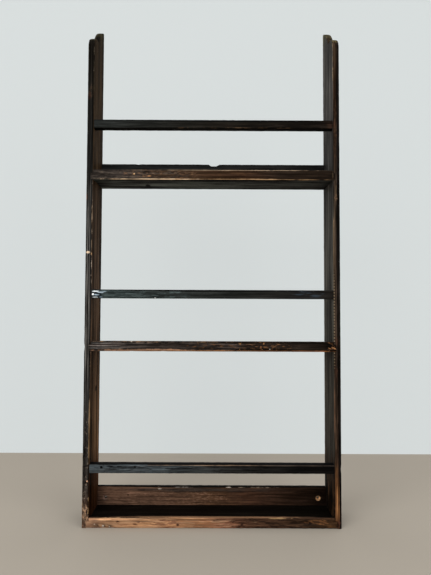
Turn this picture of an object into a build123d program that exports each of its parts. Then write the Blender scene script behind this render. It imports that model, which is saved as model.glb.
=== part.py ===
# Wall rack for hobby paint pots. Two side boards carry three shelves, let into
# grooves cut right across them. Each shelf has a raised front lip and a guard
# rail above it, and the top and bottom shelves have a back rail for the wall
# screws. Everything is nailed through the side boards.
#
# Millimetres. X runs across the rack, Y from its front (-) to the wall (+), and
# Z up. The origin is the middle of the footprint, on the floor.

from build123d import *
import os

os.makedirs("parts", exist_ok=True)

# The whole rack
rack_width = 520.0        # over the outer faces of the side boards
board_depth = 78.0        # front edge to wall, for the side boards and shelves
front_height = 980.0      # straight part of a side board's front edge
fit_gap = 0.1             # glue line left at each cut end and over each shelf

# Side boards, whose tops step back in two lobes
side_thickness = 14.0
side_arris = 1.5          # rounding of the front edge
nose_radius = 28.0        # lower lobe, a quarter round
ledge_depth = 8.0         # flat between the lobes
crown_rise = 46.0         # upper lobe, from the ledge to the top
crown_bulge = 5.0         # how far the upper lobe swells from its chord
crown_flat = 4.0          # flat at the very top, against the wall

# Shelves
tiers = ("bottom", "middle", "top")
shelf_pitch = 351.0       # underside to underside
shelf_thickness = 15.0
groove_depth = 5.0        # how far a shelf's end goes into the side board
lip_rise = 6.0            # lip above the shelf's surface
lip_width = 10.0
lip_arris = 1.5

# Guard rails, across the front
guard_rail_height = 107.0   # shelf's underside to rail's underside
guard_rail_tall = 18.5
guard_rail_deep = 16.0
guard_rail_setback = 1.0    # behind the side boards' front edges
guard_rail_arris = 1.5

# Back rails, standing on the shelf against the wall
tiers_with_back_rail = ("bottom", "top")
back_rail_tall = 39.0
back_rail_thick = 10.0
back_rail_arris = 1.0
screw_hole_radius = 2.25
screw_head_radius = 5.0     # mouth of the 90 degree countersink
screw_inset = 17.0          # from the side board's inner face
screw_height = 15.0         # above the shelf's surface
notch_tier = "top"          # the rail with a hanging notch in its top edge
notch_mouth = 24.0
notch_floor = 11.0
notch_depth = 4.0
notch_offset = 2.0          # right of the rack's middle

# Lost-head nails, punched just under the side boards' outer faces
nail_length = 38.0
nail_radius = 1.2
nail_head_radius = 2.4
nail_head_thick = 1.2
nail_point = 3.0
nail_set = 0.8              # depth of the head under the face
nail_gap = 0.05             # drilled clearance round a nail
shelf_nail_inset = 16.0     # from the shelf's front and back edges
back_rail_nail_height = 29.0   # above the shelf's surface

# Places that several pieces share
outer_face = rack_width / 2
inner_face = outer_face - side_thickness
front = -board_depth / 2
back = board_depth / 2
butt_length = 2 * (inner_face - fit_gap)
tongue_length = 2 * (inner_face + groove_depth - fit_gap)
rail_front = front + guard_rail_setback
back_rail_front = back - back_rail_thick
stand = (Align.CENTER, Align.MIN, Align.MIN)


def shelf_underside(tier):
    return tiers.index(tier) * shelf_pitch


def shelf_surface(tier):
    return shelf_underside(tier) + shelf_thickness


def guard_rail_underside(tier):
    return shelf_underside(tier) + guard_rail_height


# Nails: a place is the (y, z) of a nail's axis, the same at both side boards.

def shelf_nails(tier):
    mid_plank = shelf_underside(tier) + shelf_thickness / 2
    return [(front + shelf_nail_inset, mid_plank), (back - shelf_nail_inset, mid_plank)]


def guard_rail_nails(tier):
    return [(rail_front + guard_rail_deep / 2, guard_rail_underside(tier) + guard_rail_tall / 2)]


def back_rail_nails(tier):
    return [(back - back_rail_thick / 2, shelf_surface(tier) + back_rail_nail_height)]


def nail(gap=0.0, mouth=0.0):
    """One nail along +X, its head's face at the origin, or its hole if a gap is given."""
    shank = nail_radius + gap
    head = nail_head_radius + gap
    outline = Polyline(
        (-mouth, 0),
        (-mouth, head),
        (nail_head_thick, head),
        (nail_head_thick, shank),
        (nail_length - nail_point, shank),
        (nail_length + gap, 0),
        close=True,
    )
    return revolve(make_face(outline), Axis.X)


def left_nails(places):
    return [Pos(nail_set - outer_face, y, z) * nail() for y, z in places]


def left_nail_holes(places):
    return [Pos(nail_set - outer_face, y, z) * nail(nail_gap, nail_set + nail_gap) for y, z in places]


def to_right(shapes):
    return [mirror(shape, about=Plane.YZ) for shape in shapes]


def drill_both_ends(piece, places):
    holes = left_nail_holes(places)
    for hole in holes + to_right(holes):
        piece -= hole
    return piece


def side_outline():
    """The side board seen along X: a straight front edge and a top in two lobes."""
    ledge = front_height + nose_radius
    nose_back = front + nose_radius
    crown_foot = nose_back + ledge_depth
    top = ledge + crown_rise
    return make_face([
        Line((front, 0), (front, front_height)),
        CenterArc((nose_back, front_height), nose_radius, 180, -90),
        Line((nose_back, ledge), (crown_foot, ledge)),
        SagittaArc((crown_foot, ledge), (back - crown_flat, top), crown_bulge),
        Line((back - crown_flat, top), (back, top)),
        Line((back, top), (back, 0)),
        Line((back, 0), (front, 0)),
    ])


def left_side():
    board = Pos(-outer_face, 0, 0) * extrude(Plane.YZ * side_outline(), side_thickness)
    front_arrises = board.edges().filter_by(Axis.Z).group_by(Axis.Y)[0]
    board = fillet(front_arrises, side_arris)
    for tier in tiers:
        groove = Box(groove_depth, board_depth, shelf_thickness + fit_gap, align=(Align.MAX, Align.CENTER, Align.MIN))
        board -= Pos(-inner_face, 0, shelf_underside(tier)) * groove
        for hole in left_nail_holes(shelf_nails(tier) + guard_rail_nails(tier)):
            board -= hole
    for tier in tiers_with_back_rail:
        for hole in left_nail_holes(back_rail_nails(tier)):
            board -= hole
    return board


def shelf(tier):
    plank = Box(tongue_length, board_depth, shelf_thickness, align=stand)
    lip = Pos(0, 0, shelf_thickness) * Box(butt_length, lip_width, lip_rise, align=stand)
    piece = plank + lip
    lip_arrises = piece.edges().filter_by(Axis.X).group_by(Axis.Z)[-1]
    piece = Pos(0, front, shelf_underside(tier)) * fillet(lip_arrises, lip_arris)
    return drill_both_ends(piece, shelf_nails(tier))


def guard_rail(tier):
    bar = Box(butt_length, guard_rail_deep, guard_rail_tall, align=stand)
    bar = fillet(bar.edges().filter_by(Axis.X), guard_rail_arris)
    piece = Pos(0, rail_front, guard_rail_underside(tier)) * bar
    return drill_both_ends(piece, guard_rail_nails(tier))


def screw_hole():
    """A wall screw's hole along +Y from the rail's front face, with its countersink."""
    outline = Polyline(
        (0, 0),
        (screw_head_radius, 0),
        (screw_hole_radius, screw_head_radius - screw_hole_radius),
        (screw_hole_radius, back_rail_thick),
        (0, back_rail_thick),
        close=True,
    )
    return revolve(make_face(outline), Axis.Y)


def hanging_notch():
    """A shallow notch through a rail's top edge, its mouth centred on the origin."""
    outline = Polyline(
        (-notch_mouth / 2, 0),
        (notch_mouth / 2, 0),
        (notch_floor / 2, -notch_depth),
        (-notch_floor / 2, -notch_depth),
        close=True,
    )
    return extrude(Plane.XZ * make_face(outline), -back_rail_thick)


def back_rail(tier):
    rail = Box(butt_length, back_rail_thick, back_rail_tall, align=stand)
    rail = fillet(rail.edges().filter_by(Axis.X).group_by(Axis.Z)[-1], back_rail_arris)
    if tier == notch_tier:
        rail -= Pos(notch_offset, 0, back_rail_tall) * hanging_notch()
    screw_x = inner_face - screw_inset
    for x in (-screw_x, screw_x):
        rail -= Pos(x, 0, screw_height) * screw_hole()
    piece = Pos(0, back_rail_front, shelf_surface(tier)) * rail
    return drill_both_ends(piece, back_rail_nails(tier))


def write(shape, node):
    export_step(shape, f"parts/{node}.step")


def write_nails(places, node):
    nails = left_nails(places)
    word = "nail" if len(nails) == 1 else "nails"
    write(Compound(children=nails), f"{node}_left_{word}")
    write(Compound(children=to_right(nails)), f"{node}_right_{word}")


side = left_side()
write(side, "left_side")
write(mirror(side, about=Plane.YZ), "right_side")

for tier in tiers:
    write(shelf(tier), f"{tier}_shelf")
    write_nails(shelf_nails(tier), f"{tier}_shelf")
    write(guard_rail(tier), f"{tier}_guard_rail")
    write_nails(guard_rail_nails(tier), f"{tier}_guard_rail")

for tier in tiers_with_back_rail:
    write(back_rail(tier), f"{tier}_back_rail")
    write_nails(back_rail_nails(tier), f"{tier}_back_rail")
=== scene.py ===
# Paint rack organizer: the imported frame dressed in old, dark-stained, worn wood.
# Metres. X runs across the rack, Y from its front (-) to the wall (+), Z up.
import math

import bmesh
import bpy
import numpy as np
from mathutils import Matrix, Vector


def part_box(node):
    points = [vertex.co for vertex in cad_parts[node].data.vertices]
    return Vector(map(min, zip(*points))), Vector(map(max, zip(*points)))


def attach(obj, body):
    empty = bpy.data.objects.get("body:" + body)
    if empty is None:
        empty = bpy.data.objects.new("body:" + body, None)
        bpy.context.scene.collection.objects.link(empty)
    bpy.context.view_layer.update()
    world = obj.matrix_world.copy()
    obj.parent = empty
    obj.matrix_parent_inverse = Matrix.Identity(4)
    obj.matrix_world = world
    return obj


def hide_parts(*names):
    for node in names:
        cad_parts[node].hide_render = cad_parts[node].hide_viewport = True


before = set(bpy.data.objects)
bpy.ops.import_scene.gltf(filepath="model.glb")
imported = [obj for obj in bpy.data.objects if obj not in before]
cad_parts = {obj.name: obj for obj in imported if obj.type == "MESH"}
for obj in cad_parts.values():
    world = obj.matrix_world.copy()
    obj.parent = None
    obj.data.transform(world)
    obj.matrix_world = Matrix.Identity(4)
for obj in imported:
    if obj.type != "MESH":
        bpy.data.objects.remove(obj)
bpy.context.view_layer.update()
mm = 0.001
hair = 0.01 * mm      # closer than this counts as touching
squareOn = 0.9        # the least part of a face's normal along the way that it looks
edgeOn = 0.3          # and the most of it along a way that it stands edge-on to
sharpBend = 1         # radians; two faces that meet more sharply than this make an arris
print("frame loaded:", len(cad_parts), "nodes")

# ---- camera, floor, backdrop and lamps

photoFrame = {"width": 431, "height": 575}
cameraView = {
    "place": (-0.0049, -0.9162, 0.4507),
    "turn": 0.07,         # degrees to the right
    "rise": 1.98,         # degrees above level
    "roll": 0.24,
    "lens": 27.05,
    "sensor": 36,
    "nearest": 0.01,
    "axisColumn": 210.8,  # where the lens points, in columns of the frame
}
studio = {
    "floorSize": 40,
    "floorColour": (0.48, 0.43, 0.36, 1),
    "floorRoughness": 0.9,
    "floorShine": 0.1,
    "wallSize": 36,
    "wallPlace": (0, 0.39, 17.9),
    "wallColour": (0.65, 0.69, 0.69, 1),
    "wallShade": (0.17, 0.18, 0.18, 1),   # how much of the wall's tone comes from the lamps
    "wallGlow": 0.82,
    "skyColour": (1, 1, 1, 1),
    "skyStrength": 0.62,
    "lampAim": (0, 0, 0.5),
}
lamps = {
    "keyLamp": {"place": (-1.3, -1.8, 1.8), "size": 1.6, "power": 24.0},
    "fillLamp": {"place": (1.5, -1.7, 1.2), "size": 1.6, "power": 16.0},
}


def addCamera(values):
    data = bpy.data.cameras.new("rackCamera")
    camera = bpy.data.objects.new("rackCamera", data)
    bpy.context.collection.objects.link(camera)
    data.sensor_width = values["sensor"]
    data.lens = values["lens"]
    data.shift_x = (photoFrame["width"] / 2 - values["axisColumn"]) / photoFrame["height"]
    data.clip_start = values["nearest"]
    turn = Matrix.Rotation(math.radians(-values["turn"]), 4, "Z")
    rise = Matrix.Rotation(math.radians(90 + values["rise"]), 4, "X")
    roll = Matrix.Rotation(math.radians(values["roll"]), 4, "Z")
    camera.matrix_world = Matrix.Translation(values["place"]) @ turn @ rise @ roll
    bpy.context.scene.camera = camera


def addNode(tree, kind, inputs=None, **settings):
    node = tree.nodes.new(kind)
    for name, value in settings.items():
        setattr(node, name, value)
    for name, value in (inputs or {}).items():
        if isinstance(value, bpy.types.NodeSocket):
            tree.links.new(value, node.inputs[name])
        else:
            node.inputs[name].default_value = value
    return node


def maths(tree, operation, first, second=0.0, clamp=False):
    inputs = {0: first, 1: second}
    return addNode(tree, "ShaderNodeMath", inputs, operation=operation, use_clamp=clamp).outputs[0]


def vectorMaths(tree, operation, first, second):
    slot = "Scale" if operation == "SCALE" else 1
    return addNode(tree, "ShaderNodeVectorMath", {0: first, slot: second}, operation=operation).outputs[0]


def blend(tree, factor, first, second):
    return addNode(tree, "ShaderNodeMix", {0: factor, 6: first, 7: second}, data_type="RGBA").outputs[2]


def spread(tree, value, low, high, toLow=0.0, toHigh=1.0, smooth=False):
    inputs = {"Value": value, "From Min": low, "From Max": high, "To Min": toLow, "To Max": toHigh}
    kind = "SMOOTHSTEP" if smooth else "LINEAR"
    return addNode(tree, "ShaderNodeMapRange", inputs, interpolation_type=kind).outputs[0]


def newMaterial(name):
    material = bpy.data.materials.new(name)
    material.use_nodes = True
    material.node_tree.nodes.clear()
    return material


def addPlane(name, size, place, turn=(0, 0, 0)):
    bpy.ops.object.select_all(action="DESELECT")
    bpy.ops.mesh.primitive_plane_add(size=size, location=place, rotation=turn)
    plane = bpy.context.object
    plane.name = name
    return plane


def paintFloor(floor):
    material = newMaterial("floorPaint")
    tree = material.node_tree
    shader = addNode(tree, "ShaderNodeBsdfPrincipled", {
        "Base Color": studio["floorColour"],
        "Roughness": studio["floorRoughness"],
        "Specular IOR Level": studio["floorShine"],
    })
    addNode(tree, "ShaderNodeOutputMaterial", {"Surface": shader.outputs[0]})
    floor.data.materials.append(material)


# The wall behind is there for the camera in front only, and takes no light from the rack
def paintWall(wall):
    material = newMaterial("wallPaint")
    tree = material.node_tree
    seen = addNode(tree, "ShaderNodeLightPath").outputs["Is Camera Ray"]
    behind = addNode(tree, "ShaderNodeNewGeometry").outputs["Backfacing"]
    front = maths(tree, "SUBTRACT", seen, behind, clamp=True)
    paint = addNode(tree, "ShaderNodeBsdfDiffuse", {"Color": studio["wallShade"]})
    inputs = {"Color": studio["wallColour"], "Strength": studio["wallGlow"]}
    glow = addNode(tree, "ShaderNodeEmission", inputs)
    lit = addNode(tree, "ShaderNodeAddShader", {0: paint.outputs[0], 1: glow.outputs[0]})
    clear = addNode(tree, "ShaderNodeBsdfTransparent")
    shader = addNode(tree, "ShaderNodeMixShader", {0: front, 1: clear.outputs[0], 2: lit.outputs[0]})
    addNode(tree, "ShaderNodeOutputMaterial", {"Surface": shader.outputs[0]})
    wall.data.materials.append(material)


def lightStudio():
    world = bpy.data.worlds.new("studioWorld")
    world.use_nodes = True
    tree = world.node_tree
    tree.nodes.clear()
    path = addNode(tree, "ShaderNodeLightPath")
    seen = maths(tree, "MAXIMUM", path.outputs["Is Camera Ray"], path.outputs["Is Transmission Ray"])
    sky = addNode(tree, "ShaderNodeBackground", {0: studio["skyColour"], 1: studio["skyStrength"]})
    back = addNode(tree, "ShaderNodeBackground", {0: studio["wallColour"], 1: 1.0})
    shader = addNode(tree, "ShaderNodeMixShader", {0: seen, 1: sky.outputs[0], 2: back.outputs[0]})
    addNode(tree, "ShaderNodeOutputWorld", {"Surface": shader.outputs[0]})
    bpy.context.scene.world = world
    for name, values in lamps.items():
        data = bpy.data.lights.new(name, "AREA")
        data.size = values["size"]
        data.energy = values["power"]
        lamp = bpy.data.objects.new(name, data)
        bpy.context.collection.objects.link(lamp)
        lamp.location = values["place"]
        aim = Vector(studio["lampAim"]) - Vector(values["place"])
        lamp.rotation_euler = aim.to_track_quat("-Z", "Y").to_euler()


addCamera(cameraView)
paintFloor(addPlane("floor", studio["floorSize"], (0, 0, 0)))
paintWall(addPlane("wall", studio["wallSize"], studio["wallPlace"], (math.radians(90), 0, 0)))
lightStudio()
bpy.context.scene.view_settings.view_transform = "Standard"
print("camera, floor, wall and lamps in place")

# ---- node groups that the finishes share

numberSocket = "NodeSocketFloat"
vectorSocket = "NodeSocketVector"

# A noise is given as its fineness along the grain and across it, its detail and its roughness
noiseRange = (0.3, 0.7)       # where most of a noise's values lie
facingRange = (0.45, 0.85)    # how squarely a face looks a way, from not at all to wholly
grainPattern = {
    "sway": 0.006,            # how far the grain wanders
    "swayScale": 9.0,
    "streaks": ((7, 260, 260), 4.0, 0.6),
    "fibres": ((26, 1500, 1500), 2.0, 0.6),
    "lines": ((3, 420, 420), 3.0, 0.6),
    "lineRange": (0.35, 0.65),
    "pores": ((90, 2600, 2600), 1.0, 0.5),
    "poreRange": (0.62, 0.72),
    "rings": (1.2, 55, 38),
    "ringScale": 1.3,
    "ringDistortion": 6.0,
    "ringDetail": 2.0,
    "ringDetailScale": 0.7,
}
patchPattern = {"detail": 5.0, "roughness": 0.7}
arrisPattern = {
    "breaks": ((38, 150, 150), 3.0, 0.6),
    "splinters": ((260, 900, 900), 2.0, 0.6),
    "breakPart": 1.5,
    "splinterPart": 0.8,
    "middle": 1.15,
    "edge": 1.3,
    "bare": (-0.05, 0.12),
    "rubbed": (-0.35, 0.1),
}
sideWays = {
    "Front": (1, -1),
    "Back": (1, 1),
    "Top": (2, 1),
    "Under": (2, -1),
    "Right": (0, 1),
    "Left": (0, -1),
}


def newGroup(name, inputs, outputs):
    group = bpy.data.node_groups.new(name, "ShaderNodeTree")
    for socketName, kind, value in inputs:
        socket = group.interface.new_socket(socketName, in_out="INPUT", socket_type=kind)
        socket.default_value = value
    for socketName in outputs:
        group.interface.new_socket(socketName, in_out="OUTPUT", socket_type=numberSocket)
    start = group.nodes.new("NodeGroupInput")
    end = group.nodes.new("NodeGroupOutput")
    return group, start.outputs, end.inputs


def noiseAt(tree, where, stretch, detail, roughness):
    stretched = vectorMaths(tree, "MULTIPLY", where, stretch)
    inputs = {"Vector": stretched, "Scale": 1.0, "Detail": detail, "Roughness": roughness}
    return addNode(tree, "ShaderNodeTexNoise", inputs).outputs[0]


# Grain runs along the X of the vector it is given
def makeGrainGroup():
    inputs = [
        ("Vector", vectorSocket, (0, 0, 0)),
        ("Coarseness", numberSocket, 1.0),
        ("Waviness", numberSocket, 1.0),
    ]
    group, given, result = newGroup("woodGrain", inputs, ["Streaks", "Fibres", "Rings", "Lines", "Pores"])
    inputs = {"Vector": given["Vector"], "Scale": grainPattern["swayScale"], "Detail": 1.0}
    slow = addNode(group, "ShaderNodeTexNoise", inputs).outputs[1]
    bend = vectorMaths(group, "SUBTRACT", slow, (0.5, 0.5, 0.5))
    far = maths(group, "MULTIPLY", given["Waviness"], grainPattern["sway"])
    moved = vectorMaths(group, "ADD", given["Vector"], vectorMaths(group, "SCALE", bend, far))
    where = vectorMaths(group, "SCALE", moved, given["Coarseness"])
    rings = addNode(group, "ShaderNodeTexWave", {
        "Vector": vectorMaths(group, "MULTIPLY", where, grainPattern["rings"]),
        "Scale": grainPattern["ringScale"],
        "Distortion": grainPattern["ringDistortion"],
        "Detail": grainPattern["ringDetail"],
        "Detail Scale": grainPattern["ringDetailScale"],
    }, bands_direction="DIAGONAL").outputs[1]
    lines = noiseAt(group, where, *grainPattern["lines"])
    dashes = noiseAt(group, where, *grainPattern["pores"])
    group.links.new(noiseAt(group, where, *grainPattern["streaks"]), result["Streaks"])
    group.links.new(noiseAt(group, where, *grainPattern["fibres"]), result["Fibres"])
    group.links.new(rings, result["Rings"])
    group.links.new(spread(group, lines, *grainPattern["lineRange"]), result["Lines"])
    group.links.new(spread(group, dashes, *grainPattern["poreRange"]), result["Pores"])
    return group


# Bare wood where handling has rubbed the stain off an arris
def makeWearGroup():
    inputs = [
        ("Vector", vectorSocket, (0, 0, 0)),
        ("Arris", numberSocket, 0.0),
        ("Amount", numberSocket, 0.4),
        ("Break Scale", numberSocket, 1.0),
    ]
    group, given, result = newGroup("arrisWear", inputs, ["Bare", "Rubbed"])
    where = vectorMaths(group, "SCALE", given["Vector"], given["Break Scale"])
    long = noiseAt(group, where, *arrisPattern["breaks"])
    fine = noiseAt(group, where, *arrisPattern["splinters"])
    long = maths(group, "MULTIPLY", long, arrisPattern["breakPart"])
    fine = maths(group, "MULTIPLY", fine, arrisPattern["splinterPart"])
    ragged = maths(group, "SUBTRACT", maths(group, "ADD", long, fine), arrisPattern["middle"])
    level = maths(group, "ADD", given["Arris"], ragged)
    over = maths(group, "SUBTRACT", level, maths(group, "SUBTRACT", arrisPattern["edge"], given["Amount"]))
    group.links.new(spread(group, over, *arrisPattern["bare"], smooth=True), result["Bare"])
    group.links.new(spread(group, over, *arrisPattern["rubbed"], smooth=True), result["Rubbed"])
    return group


# A ragged patch about a place, for stains, scuffs, smears, bare spots and painted shade, sheen and glints
def makePatchGroup():
    inputs = [
        ("Vector", vectorSocket, (0, 0, 0)),
        ("Place", vectorSocket, (0, 0, 0)),
        ("Reach", vectorSocket, (1, 1, 1)),
        ("Softness", numberSocket, 0.5),
        ("Ragged", numberSocket, 0.5),
        ("Noise Scale", vectorSocket, (60, 60, 60)),
        ("Tilt", numberSocket, 0.0),
        ("Broken", numberSocket, 0.0),
    ]
    group, given, result = newGroup("patch", inputs, ["Mask"])
    away = vectorMaths(group, "SUBTRACT", given["Vector"], given["Place"])
    inReaches = vectorMaths(group, "DIVIDE", away, given["Reach"])
    far = addNode(group, "ShaderNodeVectorMath", {0: inReaches}, operation="LENGTH").outputs["Value"]
    inputs = {"Vector": given["Vector"], "Angle": given["Tilt"]}
    tilted = addNode(group, "ShaderNodeVectorRotate", inputs, rotation_type="Y_AXIS").outputs[0]
    rough = noiseAt(group, tilted, given["Noise Scale"], **patchPattern)
    rough = maths(group, "SUBTRACT", rough, 0.5)
    far = maths(group, "MAXIMUM", far, given["Broken"])
    level = maths(group, "ADD", far, maths(group, "MULTIPLY", rough, given["Ragged"]))
    start = maths(group, "SUBTRACT", 1.0, given["Softness"])
    group.links.new(spread(group, level, 1.0, start, smooth=True), result["Mask"])
    return group


# Small specks, each in its own cell
def makeFleckGroup():
    inputs = [
        ("Vector", vectorSocket, (0, 0, 0)),
        ("Cell Scale", vectorSocket, (200, 200, 200)),
        ("Share", numberSocket, 0.1),
        ("Size", numberSocket, 0.3),
    ]
    group, given, result = newGroup("flecks", inputs, ["Mask"])
    fine = vectorMaths(group, "MULTIPLY", given["Vector"], given["Cell Scale"])
    cells = addNode(group, "ShaderNodeTexVoronoi", {"Vector": fine, "Scale": 1.0}).outputs
    drawn = addNode(group, "ShaderNodeSeparateColor", {0: cells["Color"]}).outputs[0]
    chosen = maths(group, "LESS_THAN", drawn, given["Share"])
    core = maths(group, "MULTIPLY", given["Size"], 0.5)
    small = spread(group, cells["Distance"], given["Size"], core)
    group.links.new(maths(group, "MULTIPLY", chosen, small), result["Mask"])
    return group


# Which way a face looks
def makeSidesGroup():
    group, given, result = newGroup("sides", [("Normal", vectorSocket, (0, 0, 1))], sideWays)
    parts = addNode(group, "ShaderNodeSeparateXYZ", {0: given["Normal"]}).outputs
    for name, (axis, sign) in sideWays.items():
        facing = maths(group, "MULTIPLY", parts[axis], sign)
        group.links.new(spread(group, facing, *facingRange, smooth=True), result[name])
    return group


groups = {
    "grain": makeGrainGroup(),
    "wear": makeWearGroup(),
    "patch": makePatchGroup(),
    "flecks": makeFleckGroup(),
    "sides": makeSidesGroup(),
}
print("node groups made:", len(groups))

# ---- the stained wood, which each board wears in its own look


def useGroup(tree, name, inputs):
    return addNode(tree, "ShaderNodeGroup", inputs, node_tree=groups[name]).outputs


# The linear colour of an sRGB code
def colour(code):
    parts = [int(code[i:i + 2], 16) / 255 for i in (0, 2, 4)]
    linear = [c / 12.92 if c <= 0.04045 else ((c + 0.055) / 1.055) ** 2.4 for c in parts]
    return (*linear, 1)


def rampAlong(tree, value, stops):
    node = addNode(tree, "ShaderNodeValToRGB", {0: value})
    ramp = node.color_ramp
    while len(ramp.elements) < len(stops):
        ramp.elements.new(0.5)
    while len(ramp.elements) > len(stops):
        ramp.elements.remove(ramp.elements[-1])
    for element, (position, code) in zip(ramp.elements, stops):
        element.position = position
        element.color = colour(code)
    return node.outputs[0]


plainSpot = {"soft": 0.6, "ragged": 0.8, "noise": (60, 240, 240), "tilt": 0, "broken": 0.0}


# A spot in a look: a stain, scuff, bare place, painted shade or painted glint, in millimetres, on one side
# of a board or on all
def spot(place, reach, code, side="", **more):
    return {"place": place, "reach": reach, "colour": code, "side": side, **more}


# Flecks and streaks strewn over one side; the nearer broken is to 1, the fewer there are
def strewn(place, reach, code, broken, noise, strength=1.0, side="Front", ragged=4, soft=0.3, **more):
    return spot(place, reach, code, side, broken=broken, noise=noise, strength=strength,
                ragged=ragged, soft=soft, **more)


# A broken line along an arris, on both of the faces that meet there
def arrisLine(place, reach, code, broken, noise, strength=1.0, ragged=2, soft=0.5):
    return strewn(place, reach, code, broken, noise, strength, "", ragged, soft)


# A stretch of arris that is rubbed more than the rest, or less
def rub(place, reach, amount):
    return {"place": place, "reach": reach, "amount": amount, "soft": 0.4, "ragged": 0.3}


def spotMask(tree, where, item):
    item = {**plainSpot, **item}
    return useGroup(tree, "patch", {
        "Vector": where,
        "Place": [c * mm for c in item["place"]],
        "Reach": [c * mm for c in item["reach"]],
        "Softness": item["soft"],
        "Ragged": item["ragged"],
        "Noise Scale": item["noise"],
        "Tilt": math.radians(item["tilt"]),
        "Broken": item["broken"],
    })["Mask"]


def shaded(tree, tint, value):
    return addNode(tree, "ShaderNodeHueSaturation", {"Color": tint, "Value": value}).outputs[0]


# Chatter marks: a row of bare dots along an arris
def beadMask(tree, where, upward, arris, beads):
    beat = maths(tree, "SINE", maths(tree, "MULTIPLY", upward, 2 * math.pi / (beads["step"] * mm)))
    uneven = maths(tree, "SUBTRACT", noiseAt(tree, where, *beads["unevenNoise"]), 0.5)
    beat = maths(tree, "ADD", beat, maths(tree, "MULTIPLY", uneven, beads["uneven"]))
    dots = spread(tree, beat, *beads["dotRange"], smooth=True)
    dots = maths(tree, "MULTIPLY", dots, spread(tree, arris, *beads["arrisRange"], smooth=True))
    return maths(tree, "MULTIPLY", dots, spotMask(tree, where, beads))


woodFinish = {
    "poreColour": "0b0907",
    "poreStrength": 0.5,
    "fibreShare": 0.5,       # of the look's contrast
    "ringShare": 0.3,
    "blotches": ((14, 60, 60), 3.0, 0.6),
    "streakNoise": (3.0, 0.65),      # detail and roughness
    "streakRange": (0.36, 0.64),
    "sheenFrom": 0.001,       # how bright the stain is where the painted sheen starts
    "sheenTo": 0.025,         # and where it is whole
    "leastSheen": 0.1,
    "sheenColour": (1, 1, 1, 1),
    "roughnessDrift": 0.08,
    "bareRoughness": 0.2,
    "streakRise": 1.2,
    "poreDepth": 0.8,
    "bareDepth": 0.6,
    "bump": 0.5,
    "bumpHeight": 0.0004,
}


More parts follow.
